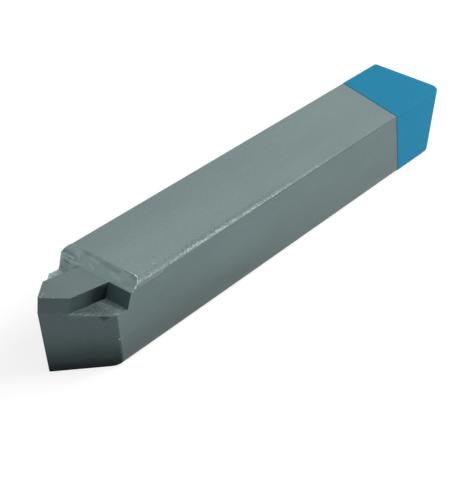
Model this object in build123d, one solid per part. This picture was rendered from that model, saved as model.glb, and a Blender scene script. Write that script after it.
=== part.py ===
# Brazed turning tool: a square steel shank whose front end carries a pointed carbide tip.
# Sizes are in millimetres and angles in degrees. X runs along the shank from the butt to the
# cutting point, Y across it and Z up. X and Y are zero at the middle of the tool, and Z is zero
# at the plane on which the tool rests.
from build123d import *
from build123d.topology import SkipClean
from math import cos, radians, sin, tan
import os

# Shank
TOOL_LENGTH = 121.75  # from the butt to the cutting point, along the middle of the underside
SHANK_WIDTH = 16.0
SHANK_HEIGHT = 16.0
TOP_EDGE_RADIUS = 0.2
BOTTOM_EDGE_RADIUS = 1.4

# Facet dressed by hand along the top edge on the +Y side: widest at the shoulder, and running
# out on its way back
FACET_WIDTH = 1.45  # across the top face at the shoulder
FACET_DEPTH = 0.5  # down the side at the shoulder
FACET_LENGTH = 44.0

# Butt, cropped a little out of square: the underside and the +Y side are the longer ones
BUTT_LEAN = 3.7
BUTT_SLANT = 3.3
BUTT_NEAR_RADIUS = 2.0  # upright edge on the +Y side
BUTT_FAR_RADIUS = 0.5  # upright edge on the -Y side

# Seat for the tip: a floor that rises towards the point, a back wall square to it, and a
# shoulder that slopes from the top face down to the wall
SEAT_LENGTH = 14.4  # from the back wall to the cutting point
RAKE = 9.3
SHOULDER_LENGTH = 3.5
SHOULDER_DROP = 0.98

# Carbide tip and the braze that holds it to the floor and the wall
TIP_WIDTH = 6.4
TIP_THICKNESS = 3.05
BRAZE_THICKNESS = 0.1

# Point, ground by hand: seen from above, the flank on the -Y side is the steeper one. Both flanks
# of the carbide meet in a leading edge that leans back, and both flanks of the steel in another
NEAR_HALF_ANGLE = 36.5  # flank on the +Y side, from the middle plane
FAR_HALF_ANGLE = 32.8  # flank on the -Y side
TIP_LEAN = 3.4
BODY_LEAN = 15.7
POINT_RADIUS = 0.2

# Paint on the dipped end
PAINT_THICKNESS = 0.1
PAINT_LENGTH = 16.3  # along the middle of the top face
PAINT_SLANT_ACROSS = 15.5
PAINT_SLANT_DOWN = 21.0
PAINT_SETBACK = 0.1  # from the line at which the shank's long faces are parted

# Room that a cutter or a half space needs past the metal
CUTTER_OVERRUN = 5.0

# The slanting butt reaches furthest where its rounded edge on the +Y side begins
BUTT_REACH = (SHANK_WIDTH / 2 - BUTT_NEAR_RADIUS) * tan(radians(BUTT_SLANT)) + PAINT_THICKNESS
POINT_X = (TOOL_LENGTH + BUTT_REACH) / 2
BUTT_X = POINT_X - TOOL_LENGTH
BASE_Z = PAINT_THICKNESS
TOP_Z = BASE_Z + SHANK_HEIGHT
WALL_X = POINT_X - SEAT_LENGTH
WALL_Z = TOP_Z - SHOULDER_DROP
SEAT_DEPTH = TIP_THICKNESS + BRAZE_THICKNESS

# Seat directions: along the raked floor towards the point, and square to it
ALONG_SEAT = Vector(cos(radians(RAKE)), 0, sin(radians(RAKE)))
OFF_SEAT = Vector(-sin(radians(RAKE)), 0, cos(radians(RAKE)))

WALL_TOP = Vector(WALL_X, 0, WALL_Z)
WALL_FOOT = WALL_TOP - OFF_SEAT * SEAT_DEPTH
POINT_TOP = Vector(POINT_X, 0, WALL_Z + SEAT_LENGTH * tan(radians(RAKE)))


def leading_edge(lean):
    """Direction down a leading edge that leans back."""
    return Vector(-tan(radians(lean)), 0, -1)


def flank(hinge, lean, side):
    """Plane of one ground flank, facing out: it holds the leading edge below the hinge point and
    an edge line that runs back from there, as steep as the seat."""
    half = radians(NEAR_HALF_ANGLE if side > 0 else FAR_HALF_ANGLE)
    edge = Vector(-cos(half), side * sin(half), -cos(half) * tan(radians(RAKE)))
    return Plane(origin=hinge, x_dir=edge, z_dir=leading_edge(lean).cross(edge) * side)


def point_on_floor():
    """Where the carbide's leading edge meets the floor of the seat."""
    leading = leading_edge(TIP_LEAN)
    return POINT_TOP - leading * (SEAT_DEPTH / leading.dot(OFF_SEAT))


def grind(part, hinge, lean):
    """Grinds both flanks of the point on a part, and rounds the edge where they meet."""
    for side in (1, -1):
        part = split(part, bisect_by=flank(hinge, lean, side), keep=Keep.BOTTOM)
    leading = part.edges().filter_by(lambda edge: abs(edge.center().Y) < POINT_RADIUS / 2)
    return fillet(leading.filter_by(Plane.XZ).sort_by(Axis.X)[-1], POINT_RADIUS)


def butt_plane():
    """Plane of the cropped butt, facing out."""
    outwards = (-1, -tan(radians(BUTT_SLANT)), tan(radians(BUTT_LEAN)))
    return Plane(origin=(BUTT_X, 0, BASE_Z), z_dir=outwards)


def bar(grow, front_x):
    """The square bar behind front_x, with its rounded edges and its cropped butt. A positive
    grow gives the outside of a coat of that thickness."""
    width = SHANK_WIDTH + 2 * grow
    height = SHANK_HEIGHT + 2 * grow
    back_x = BUTT_X - CUTTER_OVERRUN
    section = Plane.YZ.offset(back_x) * Pos(0, BASE_Z - grow + height / 2) * Rectangle(width, height)
    solid = extrude(section, front_x - back_x)
    solid = split(solid, bisect_by=butt_plane().offset(grow), keep=Keep.BOTTOM)
    far_edge = solid.faces().sort_by(Axis.X)[0].edges().sort_by(Axis.Y)[0]
    solid = fillet(far_edge, BUTT_FAR_RADIUS + grow)
    near_edge = solid.faces().sort_by(Axis.X)[0].edges().sort_by(Axis.Y)[-1]
    solid = fillet(near_edge, BUTT_NEAR_RADIUS + grow)
    solid = fillet(solid.faces().sort_by(Axis.Z)[-1].edges(), TOP_EDGE_RADIUS + grow)
    return fillet(solid.faces().sort_by(Axis.Z)[0].edges(), BOTTOM_EDGE_RADIUS + grow)


def dress_edge(solid):
    """Cuts the long facet on the top edge of the +Y side."""
    shoulder_x = WALL_X - SHOULDER_LENGTH
    run_out = Vector(shoulder_x - FACET_LENGTH, SHANK_WIDTH / 2, TOP_Z)
    to_top = Vector(FACET_LENGTH, -FACET_WIDTH, 0)
    to_side = Vector(FACET_LENGTH, 0, -FACET_DEPTH)
    facet = Plane(origin=run_out, x_dir=to_top, z_dir=to_top.cross(to_side))
    return split(solid, bisect_by=facet, keep=Keep.BOTTOM)


def seat_cutter():
    """What is milled away over the shoulder and the seat, right across the shank."""
    past_x = POINT_X + CUTTER_OVERRUN
    past_z = POINT_TOP.Z + CUTTER_OVERRUN
    floor_end = WALL_FOOT + ALONG_SEAT * ((past_x - WALL_FOOT.X) / ALONG_SEAT.X)
    shoulder_slope = SHOULDER_DROP / SHOULDER_LENGTH
    back_x = WALL_X - SHOULDER_LENGTH - (past_z - TOP_Z) / shoulder_slope
    profile = Polyline(
        (back_x, past_z),
        (WALL_TOP.X, WALL_TOP.Z),
        (WALL_FOOT.X, WALL_FOOT.Z),
        (floor_end.X, floor_end.Z),
        (past_x, past_z),
        close=True,
    )
    return extrude(Plane.XZ * make_face(profile), SHANK_WIDTH / 2 + CUTTER_OVERRUN, both=True)


def paint_line():
    """Plane of the slanting line to which the butt end was dipped, facing the point."""
    across = tan(radians(PAINT_SLANT_ACROSS))
    down = tan(radians(PAINT_SLANT_DOWN))
    top_x = BUTT_X + SHANK_HEIGHT * tan(radians(BUTT_LEAN)) + PAINT_LENGTH
    return Plane(origin=(top_x, 0, TOP_Z), z_dir=(1, -across, -down))


def make_shank():
    """The steel shank with its shoulder, seat and ground point. Its long faces are parted at
    the paint line, because a tool slot takes only their bare length."""
    blank = dress_edge(bar(0, POINT_X + CUTTER_OVERRUN))
    ground = grind(blank - seat_cutter(), point_on_floor(), BODY_LEAN)
    bare = split(ground, bisect_by=paint_line(), keep=Keep.TOP)
    painted = split(ground, bisect_by=paint_line(), keep=Keep.BOTTOM)
    with SkipClean():
        return bare + painted


def seat_block(back, low, high):
    """A block as wide as the tip, lying along the seat and running out past the point. It
    starts at a distance from the wall and lies between two heights above the floor."""
    length = SEAT_LENGTH / ALONG_SEAT.X + CUTTER_OVERRUN
    seat = Plane(origin=WALL_FOOT, x_dir=ALONG_SEAT, z_dir=OFF_SEAT)
    corner = (Align.MIN, Align.CENTER, Align.MIN)
    return seat * Pos(back, 0, low) * Box(length, TIP_WIDTH, high - low, align=corner)


def make_braze():
    """The thin layer of braze under the tip and behind it."""
    layer = seat_block(0, 0, SEAT_DEPTH) - seat_block(BRAZE_THICKNESS, BRAZE_THICKNESS, SEAT_DEPTH)
    return grind(layer, POINT_TOP, TIP_LEAN)


def make_tip():
    """The carbide plate, ground to the point."""
    plate = seat_block(BRAZE_THICKNESS, BRAZE_THICKNESS, SEAT_DEPTH)
    return grind(plate, POINT_TOP, TIP_LEAN)


def make_paint(shank):
    """The coat of paint on the butt end. It stops just short of the bare faces, so that its
    slanting edge doesn't hang over them."""
    coat = bar(PAINT_THICKNESS, POINT_X)
    edge = paint_line().offset(-PAINT_SETBACK)
    return split(coat, bisect_by=edge, keep=Keep.BOTTOM) - shank


shank = make_shank()
nodes = {
    "shank": shank,
    "carbide_tip": make_tip(),
    "braze_layer": make_braze(),
    "end_paint": make_paint(shank),
}

os.makedirs("parts", exist_ok=True)
for name, shape in nodes.items():
    export_step(shape, f"parts/{name}.step")
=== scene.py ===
"""Studio scene of a square-shank turning tool with a brazed carbide tip.

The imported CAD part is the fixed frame. Every length in this file is in metres, in the frame's own
axes: X runs along the shank to the cutting point, Y across it and Z up, with the tool resting on
Z = 0. Inside the materials, places are in millimetres.
"""

import logging
import math
from collections.abc import Callable, Iterable, Iterator
from contextlib import contextmanager
from dataclasses import dataclass, replace
from enum import Enum, IntEnum
from functools import reduce

import bmesh
import bpy
from mathutils import Matrix, Vector


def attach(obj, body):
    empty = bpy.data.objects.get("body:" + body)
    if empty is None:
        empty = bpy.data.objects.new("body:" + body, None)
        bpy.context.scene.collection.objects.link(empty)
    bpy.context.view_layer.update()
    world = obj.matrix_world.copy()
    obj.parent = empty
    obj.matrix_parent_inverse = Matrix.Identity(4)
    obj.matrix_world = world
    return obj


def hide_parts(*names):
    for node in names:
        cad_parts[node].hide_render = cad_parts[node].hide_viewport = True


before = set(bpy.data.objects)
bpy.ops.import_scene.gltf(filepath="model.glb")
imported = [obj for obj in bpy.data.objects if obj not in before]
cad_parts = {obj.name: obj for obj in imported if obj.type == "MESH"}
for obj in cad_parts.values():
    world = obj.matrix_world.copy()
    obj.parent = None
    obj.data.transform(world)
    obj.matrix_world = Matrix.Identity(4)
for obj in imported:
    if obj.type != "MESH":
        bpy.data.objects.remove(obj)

log = logging.getLogger("turning_tool")

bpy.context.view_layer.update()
MM = 0.001
HAIR = 1e-7
NEAR = 10 * HAIR

Colour = tuple[float, float, float]
EdgeTest = Callable[[list[Vector]], bool]
Piece = bpy.types.Object
Socket = bpy.types.NodeSocket

ALONG = Vector((1.0, 0.0, 0.0))
ACROSS = Vector((0.0, 1.0, 0.0))
UP = Vector((0.0, 0.0, 1.0))


class Push(Enum):
    """Direction in which a surface is pressed."""

    ALONG = "X"
    UP = "Z"


def only(piece: Piece) -> None:
    """Selects one object alone and makes it the active one.

    Args:
        piece: the object to work on.
    """
    bpy.ops.object.select_all(action="DESELECT")
    piece.select_set(True)
    bpy.context.view_layer.objects.active = piece


@contextmanager
def editing(piece: Piece) -> Iterator[None]:
    """Holds a piece in edit mode while a block of operators works on it.

    Args:
        piece: the object to edit.
    """
    only(piece)
    bpy.ops.object.mode_set(mode="EDIT")
    try:
        yield
    finally:
        bpy.ops.object.mode_set(mode="OBJECT")


def pick_edges(piece: Piece, test: EdgeTest) -> int:
    """Selects edges of a piece in edit mode by the places of their ends.

    Args:
        piece: the object in edit mode.
        test: says from its two ends whether an edge is picked.

    Returns:
        How many were picked.
    """
    bpy.ops.mesh.select_mode(type="EDGE")
    bpy.ops.mesh.select_all(action="DESELECT")
    mesh = bmesh.from_edit_mesh(piece.data)
    picked = [edge for edge in mesh.edges if test([end.co for end in edge.verts])]
    for edge in picked:
        edge.select_set(True)
    bmesh.update_edit_mesh(piece.data)
    return len(picked)


def add_block(name: str, low: Vector, high: Vector, turn: float = 0.0) -> Piece:
    """Adds a block between two corners, tilted about its own middle.

    Args:
        name: what the block is called.
        low: its lowest corner before it is tilted.
        high: its highest corner before it is tilted.
        turn: angle by which its front is tilted up, about Y.

    Returns:
        The block, with its place in its mesh.
    """
    bpy.ops.object.select_all(action="DESELECT")
    bpy.ops.mesh.primitive_cube_add(
        size=1.0, location=(low + high) / 2, rotation=(0.0, -turn, 0.0), scale=high - low
    )
    piece = bpy.context.active_object
    piece.name = piece.data.name = name
    bpy.ops.object.transform_apply(location=True, rotation=True, scale=True)
    return piece


def slice_off(piece: Piece, place: Vector, outwards: Vector) -> None:
    """Cuts away all that lies in front of a plane, and closes the cut.

    Args:
        piece: the object to cut.
        place: a point on the plane.
        outwards: the plane's normal, on the side that is cut away.
    """
    with editing(piece):
        bpy.ops.mesh.select_all(action="SELECT")
        bpy.ops.mesh.bisect(
            plane_co=place,
            plane_no=outwards.normalized(),
            use_fill=True,
            clear_outer=True,
            threshold=HAIR,
        )


def score(piece: Piece, start: Vector, normal: Vector, steps: Iterable[float]) -> None:
    """Scores parallel lines round a piece, to give it the faces that finer shapes need.

    Args:
        piece: the object to score.
        start: the place from which the steps are measured.
        normal: the normal of the cuts.
        steps: how far along the normal each cut lies.
    """
    with editing(piece):
        for step in steps:
            bpy.ops.mesh.select_all(action="SELECT")
            bpy.ops.mesh.bisect(plane_co=start + normal * step, plane_no=normal, threshold=HAIR)


def round_edges(piece: Piece, test: EdgeTest, reach: float, segments: int) -> None:
    """Rounds the edges that a test picks.

    Args:
        piece: the object whose edges are rounded.
        test: says from its two ends whether an edge is rounded.
        reach: how far the rounding reaches over each face.
        segments: how many strips make up the rounding.
    """
    with editing(piece):
        if pick_edges(piece, test):
            bpy.ops.mesh.bevel(
                offset_type="OFFSET",
                offset=reach,
                segments=segments,
                profile=0.5,
                affect="EDGES",
                clamp_overlap=False,
            )


def rounding_reach(radius: float, first: Vector, second: Vector) -> float:
    """How far a rounding reaches from an edge, over two faces given by their normals."""
    return radius * math.tan(first.angle(second) / 2)


def cut_out(piece: Piece, cutter: Piece) -> None:
    """Cuts the shape of a cutter out of a piece, and puts the cutter away.

    Args:
        piece: the object to cut.
        cutter: the shape that is taken out.
    """
    only(piece)
    modifier = piece.modifiers.new("cut", "BOOLEAN")
    modifier.operation = "DIFFERENCE"
    modifier.solver = "EXACT"
    modifier.object = cutter
    bpy.ops.object.modifier_apply(modifier=modifier.name)
    bpy.data.objects.remove(cutter)


def press(
    piece: Piece,
    weight: Callable[[Vector], float],
    push: Push,
    depth: float,
    grain: bpy.types.Texture | None = None,
) -> None:
    """Presses a surface in or out, by a weight for each place.

    Args:
        piece: the object to shape.
        weight: gives the share of the depth at a place, from 0 to 1.
        push: the direction of the press.
        depth: how far a full weight moves the surface.
        grain: a texture that makes the press uneven, both in and out.
    """
    group = piece.vertex_groups.new(name="press")
    for vertex in piece.data.vertices:
        share = weight(vertex.co)
        if share > 0.0:
            group.add([vertex.index], min(share, 1.0), "REPLACE")
    modifier = piece.modifiers.new("press", "DISPLACE")
    modifier.direction = push.value
    modifier.strength = depth
    modifier.mid_level = 0.0
    modifier.vertex_group = group.name
    if grain:
        modifier.texture = grain
        modifier.texture_coords = "LOCAL"
        modifier.mid_level = 0.5
    only(piece)
    bpy.ops.object.modifier_apply(modifier=modifier.name)
    piece.vertex_groups.clear()


def clouds(name: str, size: float, contrast: float) -> bpy.types.Texture:
    """Makes a cloudy texture for an uneven press.

    Args:
        name: what the texture is called.
        size: the size of its clouds.
        contrast: how far the clouds depart from the middle value.

    Returns:
        The texture.
    """
    texture = bpy.data.textures.new(name, "CLOUDS")
    texture.noise_scale = size
    texture.noise_depth = 2
    texture.contrast = contrast
    return texture


def smooth_faces(piece: Piece, angle: float) -> None:
    """Shades a piece smoothly up to an angle, with its large faces kept flat.

    Args:
        piece: the object to shade.
        angle: the sharpest edge that is still smoothed, in degrees.
    """
    only(piece)
    bpy.ops.object.shade_smooth_by_angle(angle=math.radians(angle))
    modifier = piece.modifiers.new("weighted", "WEIGHTED_NORMAL")
    modifier.keep_sharp = True
    bpy.ops.object.modifier_apply(modifier=modifier.name)


def fade(value: float, start: float, end: float) -> float:
    """Rises smoothly from 0 at start to 1 at end."""
    share = min(max((value - start) / (end - start), 0.0), 1.0)
    return share * share * (3.0 - 2.0 * share)


def along_curve(value: float, points: tuple[tuple[float, float], ...]) -> float:
    """Reads a height off a curve of straight runs.

    Args:
        value: where it is read.
        points: the curve's corners, from left to right.

    Returns:
        The height there, and the end heights beyond the ends.
    """
    if value <= points[0][0]:
        return points[0][1]
    for (x0, y0), (x1, y1) in zip(points, points[1:]):
        if value <= x1:
            return y0 + (y1 - y0) * (value - x0) / (x1 - x0)
    return points[-1][1]


@dataclass(frozen=True)
class Seat:
    """Where the seat, the tip and the ground flanks lie."""

    wall_x: float = 46.698 * MM
    wall_z: float = 15.12 * MM
    top_z: float = 16.1 * MM
    length: float = 14.4 * MM
    rake: float = math.radians(9.3)
    shoulder_length: float = 3.5 * MM
    tip_width: float = 6.4 * MM
    tip_thickness: float = 3.05 * MM
    braze_thickness: float = 0.1 * MM
    near_half_angle: float = math.radians(36.5)
    far_half_angle: float = math.radians(32.8)
    tip_lean: float = math.radians(3.4)
    body_lean: float = math.radians(15.7)

    @property
    def along(self) -> Vector:
        """Direction of the floor towards the point."""
        return Vector((math.cos(self.rake), 0.0, math.sin(self.rake)))

    @property
    def off(self) -> Vector:
        """Direction square to the floor, up."""
        return Vector((-math.sin(self.rake), 0.0, math.cos(self.rake)))

    @property
    def wall_top(self) -> Vector:
        """Middle of the back wall's top edge."""
        return Vector((self.wall_x, 0.0, self.wall_z))

    @property
    def wall_foot(self) -> Vector:
        """Middle of the back wall's foot."""
        return self.wall_top - self.off * (self.tip_thickness + self.braze_thickness)

    @property
    def point_top(self) -> Vector:
        """The cutting point."""
        return self.wall_top + self.along * (self.length / self.along.x)

    @property
    def ramp_normal(self) -> Vector:
        """Normal of the sloping shoulder, up."""
        drop = self.top_z - self.wall_z
        return Vector((drop, 0.0, self.shoulder_length)).normalized()

    def leading_edge(self, lean: float) -> Vector:
        """Direction down a leading edge that leans back."""
        return Vector((-math.tan(lean), 0.0, -1.0))

    def flanks(self, lean: float) -> tuple[Vector, Vector]:
        """Gives the outward normals of the two ground flanks.

        Args:
            lean: how far their leading edge leans back.

        Returns:
            The normal of the flank on the +Y side, then that of the other.
        """
        normals = []
        for half, side in ((self.near_half_angle, 1), (self.far_half_angle, -1)):
            sine, cosine = math.sin(half), math.cos(half)
            edge = Vector((-cosine, side * sine, -cosine * math.tan(self.rake)))
            normals.append((self.leading_edge(lean).cross(edge) * side).normalized())
        return tuple(normals)

    @property
    def point_on_floor(self) -> Vector:
        """Where the carbide's leading edge meets the floor.

        Returns:
            The place.
        """
        leading = self.leading_edge(self.tip_lean)
        depth = self.tip_thickness + self.braze_thickness
        return self.point_top - leading * (depth / leading.dot(self.off))

    def height_off_floor(self, place: Vector) -> float:
        """Height of a place above the floor, square to it."""
        return (place - self.wall_foot).dot(self.off)

    def height_off_ramp(self, place: Vector) -> float:
        """Height of a place above the sloping shoulder, square to it."""
        return (place - self.wall_top).dot(self.ramp_normal)


def grind(piece: Piece, seat: Seat, hinge: Vector, lean: float, radius: float) -> None:
    """Grinds the two flanks of the point, and rounds the edge in which they meet.

    Args:
        piece: the object to grind.
        seat: gives the flanks.
        hinge: where their leading edge starts.
        lean: how far that edge leans back.
        radius: how far it is rounded.
    """
    flanks = seat.flanks(lean)
    for flank in flanks:
        slice_off(piece, hinge, flank)
    front, reach = seat.wall_x + 5 * MM, rounding_reach(radius, *flanks)
    round_edges(piece, lambda ends: all(abs(e.y) < NEAR and e.x > front for e in ends), reach, 4)


class Effect(Enum):
    """Effects that several finishes share, by the names of their node groups."""

    LINE = "ragged_line"
    TONE = "uneven_tone"
    FLECKS = "flecks"


class NodeBench:
    """Lays out nodes in one tree and wires them together."""

    def __init__(self, tree: bpy.types.NodeTree) -> None:
        """Takes the tree to work in, of a material or of a group."""
        self.tree = tree

    def add(self, kind: str, **settings: object) -> bpy.types.Node:
        """Adds a node.

        Args:
            kind: the node's type.
            settings: its properties by name.

        Returns:
            The node.
        """
        node = self.tree.nodes.new(kind)
        for name, value in settings.items():
            setattr(node, name, value)
        return node

    def feed(self, source: object, target: Socket) -> None:
        """Wires a socket to another one, or sets it to a plain value.

        Args:
            source: the socket or value that it takes.
            target: the socket that is fed.
        """
        if isinstance(source, bpy.types.NodeSocket):
            self.tree.links.new(source, target)
        else:
            target.default_value = source

    def fill(self, node: bpy.types.Node, **sources: object) -> None:
        """Feeds the inputs of a node by their names, with underscores for the spaces in them."""
        for name, source in sources.items():
            self.feed(source, node.inputs[name.replace("_", " ")])

    def maths(self, operation: str, *terms: object, clamp: bool = False) -> Socket:
        """Works out one sum.

        Args:
            operation: the operation's name.
            terms: its sockets or numbers.
            clamp: whether the result is kept from 0 to 1.

        Returns:
            The result.
        """
        node = self.add("ShaderNodeMath", operation=operation, use_clamp=clamp)
        for term, target in zip(terms, node.inputs):
            self.feed(term, target)
        return node.outputs[0]

    def times(self, *factors: object) -> Socket:
        """Multiplies two or more numbers in their order."""
        return reduce(lambda product, factor: self.maths("MULTIPLY", product, factor), factors)

    def vectors(self, operation: str, *terms: object, scale: object = None) -> Socket:
        """Works out one sum of vectors.

        Args:
            operation: the operation's name.
            terms: its sockets or vectors.
            scale: the factor, where the operation is SCALE.

        Returns:
            The result, which is a number for a dot product, a distance or a length.
        """
        node = self.add("ShaderNodeVectorMath", operation=operation)
        for term, target in zip(terms, node.inputs):
            self.feed(term, target)
        if scale is not None:
            self.feed(scale, node.inputs["Scale"])
        numbers = operation in ("DOT_PRODUCT", "DISTANCE", "LENGTH")
        return node.outputs["Value" if numbers else "Vector"]

    def fade(
        self, value: Socket, start: object, end: object, low: object = 0.0, high: object = 1.0
    ) -> Socket:
        """Goes smoothly from one number to another as a value goes from start to end.

        Args:
            value: the value that it follows.
            start: where it begins.
            end: where it is complete.
            low: its number up to start.
            high: its number from end on.

        Returns:
            The number.
        """
        node = self.add("ShaderNodeMapRange", interpolation_type="SMOOTHSTEP")
        for term, target in zip((value, start, end, low, high), node.inputs):
            self.feed(term, target)
        return node.outputs[0]

    def blend(self, share: object, first: object, second: object) -> Socket:
        """Blends two colours.

        Args:
            share: the share of the second colour.
            first: the first colour.
            second: the second colour.

        Returns:
            The blended colour.
        """
        node = self.add("ShaderNodeMix", data_type="RGBA")
        self.feed(share, node.inputs[0])
        for term, target in ((first, node.inputs[6]), (second, node.inputs[7])):
            plain = not isinstance(term, bpy.types.NodeSocket)
            self.feed((*term, 1.0) if plain else term, target)
        return node.outputs[2]

    def tint(self, colour: object, factor: Socket) -> Socket:
        """Multiplies a colour by a number."""
        return self.vectors("SCALE", colour, scale=factor)

    def noise(
        self, place: Socket, size: float, detail: float = 2.0, stretch: Colour = (1.0, 1.0, 1.0)
    ) -> Socket:
        """Reads a cloudy value.

        Args:
            place: where it is read, in millimetres.
            size: the size of the clouds in millimetres.
            detail: how many finer layers they have.
            stretch: how much longer the clouds are along each axis.

        Returns:
            The value, about 0.5 on average.
        """
        node = self.add("ShaderNodeTexNoise")
        scale = tuple(1.0 / (size * part) for part in stretch)
        self.fill(node, Vector=self.vectors("MULTIPLY", place, scale), Scale=1.0, Detail=detail)
        return node.outputs[0]

    def place(self) -> Socket:
        """Place on the object in millimetres."""
        return self.vectors("SCALE", self.add("ShaderNodeTexCoord").outputs["Object"], scale=1000.0)

    def parts(self, vector: Socket) -> tuple[Socket, Socket, Socket]:
        """Parts a vector.

        Args:
            vector: the vector, or a colour.

        Returns:
            Its parts along X, Y and Z.
        """
        node = self.add("ShaderNodeSeparateXYZ")
        self.feed(vector, node.inputs[0])
        return tuple(node.outputs)

    def bump(self, height: Socket, depth: float) -> Socket:
        """Turns a height into a normal.

        Args:
            height: the height, from 0 to 1.
            depth: the depth in metres of a full height.

        Returns:
            The normal.
        """
        node = self.add("ShaderNodeBump")
        self.fill(node, Distance=depth, Height=height)
        return node.outputs[0]

    def use(self, effect: Effect, **inputs: object) -> Socket:
        """Places a shared effect and gives its values.

        Args:
            effect: the effect.
            inputs: its values by name.

        Returns:
            The effect's one output.
        """
        node = self.add("ShaderNodeGroup", node_tree=bpy.data.node_groups[effect.value])
        self.fill(node, **inputs)
        return node.outputs[0]


class EffectShelf:
    """Builds the shared effects, each once, as node groups for the finishes to place."""

    def build(self) -> None:
        """Builds every group."""
        self.build_line()
        self.build_tone()
        self.build_flecks()

    def open_group(
        self, effect: Effect, inputs: dict[str, tuple[str, object]], output: str
    ) -> tuple[NodeBench, bpy.types.Node, Socket]:
        """Opens a new group.

        Args:
            effect: the effect that it will be.
            inputs: the type and default of each input by name.
            output: the name of its one output.

        Returns:
            A bench in the group, its input node and the socket that takes the result.
        """
        tree = bpy.data.node_groups.new(effect.value, "ShaderNodeTree")
        for label, (kind, default) in inputs.items():
            socket = tree.interface.new_socket(
                name=label, in_out="INPUT", socket_type=f"NodeSocket{kind}"
            )
            socket.default_value = default
        tree.interface.new_socket(name=output, in_out="OUTPUT", socket_type="NodeSocketFloat")
        bench = NodeBench(tree)
        entry = bench.add("NodeGroupInput")
        result = bench.add("NodeGroupOutput").inputs[0]
        return bench, entry, result

    def swing(self, bench: NodeBench, place: Socket, size: Socket, detail: float) -> Socket:
        """Reads a noise that swings about 0.

        Args:
            bench: the bench in the group.
            place: where it is read, in millimetres.
            size: the size of its clouds in millimetres.
            detail: how many finer layers they have.

        Returns:
            The value, mostly from -1 to 1.
        """
        node = bench.add("ShaderNodeTexNoise")
        fine = bench.vectors("SCALE", place, scale=bench.maths("DIVIDE", 1.0, size))
        bench.fill(node, Vector=fine, Scale=1.0, Detail=detail)
        return bench.times(bench.maths("SUBTRACT", node.outputs[0], 0.5), 4.0)

    def build_line(self) -> None:
        """Builds a mask along a straight line with ragged borders."""
        bench, entry, result = self.open_group(
            Effect.LINE,
            {
                "Start": ("Vector", (0.0, 0.0, 0.0)),
                "Run": ("Vector", (1.0, 0.0, 0.0)),
                "Width": ("Float", 0.1),
                "Raggedness": ("Float", 0.05),
                "Grain": ("Float", 0.3),
                "Flatten": ("Vector", (1.0, 1.0, 1.0)),
            },
            "Mask",
        )
        place = bench.place()
        flatten = entry.outputs["Flatten"]
        run = bench.vectors("MULTIPLY", entry.outputs["Run"], flatten)
        away = bench.vectors("SUBTRACT", place, entry.outputs["Start"])
        away = bench.vectors("MULTIPLY", away, flatten)
        length = bench.vectors("DOT_PRODUCT", run, run)
        share = bench.maths("DIVIDE", bench.vectors("DOT_PRODUCT", away, run), length, clamp=True)
        nearest = bench.vectors("SCALE", run, scale=share)
        distance = bench.vectors("DISTANCE", away, nearest)
        wobble = self.swing(bench, place, entry.outputs["Grain"], 2.0)
        wobble = bench.times(wobble, entry.outputs["Raggedness"])
        distance = bench.maths("ADD", distance, wobble)
        bench.feed(bench.fade(distance, 0.0, entry.outputs["Width"], 1.0, 0.0), result)

    def build_tone(self) -> None:
        """Builds a soft uneven tone about 1."""
        bench, entry, result = self.open_group(
            Effect.TONE,
            {
                "Stretch": ("Vector", (1.0, 1.0, 1.0)),
                "Size": ("Float", 5.0),
                "Contrast": ("Float", 0.1),
            },
            "Tone",
        )
        place = bench.vectors("DIVIDE", bench.place(), entry.outputs["Stretch"])
        swing = self.swing(bench, place, entry.outputs["Size"], 3.0)
        swing = bench.times(swing, entry.outputs["Contrast"])
        bench.feed(bench.maths("ADD", swing, 1.0), result)

    def build_flecks(self) -> None:
        """Builds a mask of sparse small flecks."""
        bench, entry, result = self.open_group(
            Effect.FLECKS, {"Size": ("Float", 0.5), "Amount": ("Float", 0.1)}, "Mask"
        )
        cells = bench.add("ShaderNodeTexVoronoi", feature="F1")
        fine = bench.maths("DIVIDE", 1.0, entry.outputs["Size"])
        bench.fill(cells, Vector=bench.vectors("SCALE", bench.place(), scale=fine), Scale=1.0)
        chance, _, spread = bench.parts(cells.outputs["Color"])
        limit = bench.maths("SUBTRACT", 1.0, entry.outputs["Amount"])
        chosen = bench.maths("GREATER_THAN", chance, limit)
        radius = bench.maths("ADD", bench.times(spread, 0.25), 0.12)
        core = bench.times(radius, 0.4)
        dot = bench.fade(cells.outputs["Distance"], core, radius, 1.0, 0.0)
        bench.feed(bench.times(dot, chosen), result)


def new_material(name: str) -> tuple[bpy.types.Material, NodeBench, bpy.types.Node]:
    """Starts a material.

    Args:
        name: what the material is called.

    Returns:
        The material, a bench in its tree and its surface shader.
    """
    made = bpy.data.materials.new(name)
    made.use_nodes = True
    return made, NodeBench(made.node_tree), made.node_tree.nodes["Principled BSDF"]


class Sight(Enum):
    """The direction in which a mark reaches through the surface, as factors on the axes."""

    NONE = (1.0, 1.0, 1.0)
    DOWN = (1.0, 1.0, 0.0)
    ALONG = (0.0, 1.0, 1.0)
    ACROSS = (1.0, 0.0, 1.0)


@dataclass(frozen=True)
class Mark:
    """A streak of wear, soot or braze along a straight line, with a ragged border."""

    start: Colour
    end: Colour
    width: float
    colour: Colour
    strength: float = 1.0
    raggedness: float = 0.08
    grain: float = 0.35
    sight: Sight = Sight.NONE

    def lay_on(self, bench: NodeBench, colour: Socket) -> Socket:
        """Lays the streak over a colour.

        Args:
            bench: the bench in the material.
            colour: the colour under the streak.

        Returns:
            The colour with the streak.
        """
        run = tuple(last - first for first, last in zip(self.start, self.end))
        mask = bench.use(
            Effect.LINE,
            Start=self.start,
            Run=run,
            Width=self.width,
            Raggedness=self.raggedness,
            Grain=self.grain,
            Flatten=self.sight.value,
        )
        share = bench.maths("MULTIPLY", mask, self.strength, clamp=True)
        return bench.blend(share, colour, self.colour)


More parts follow.
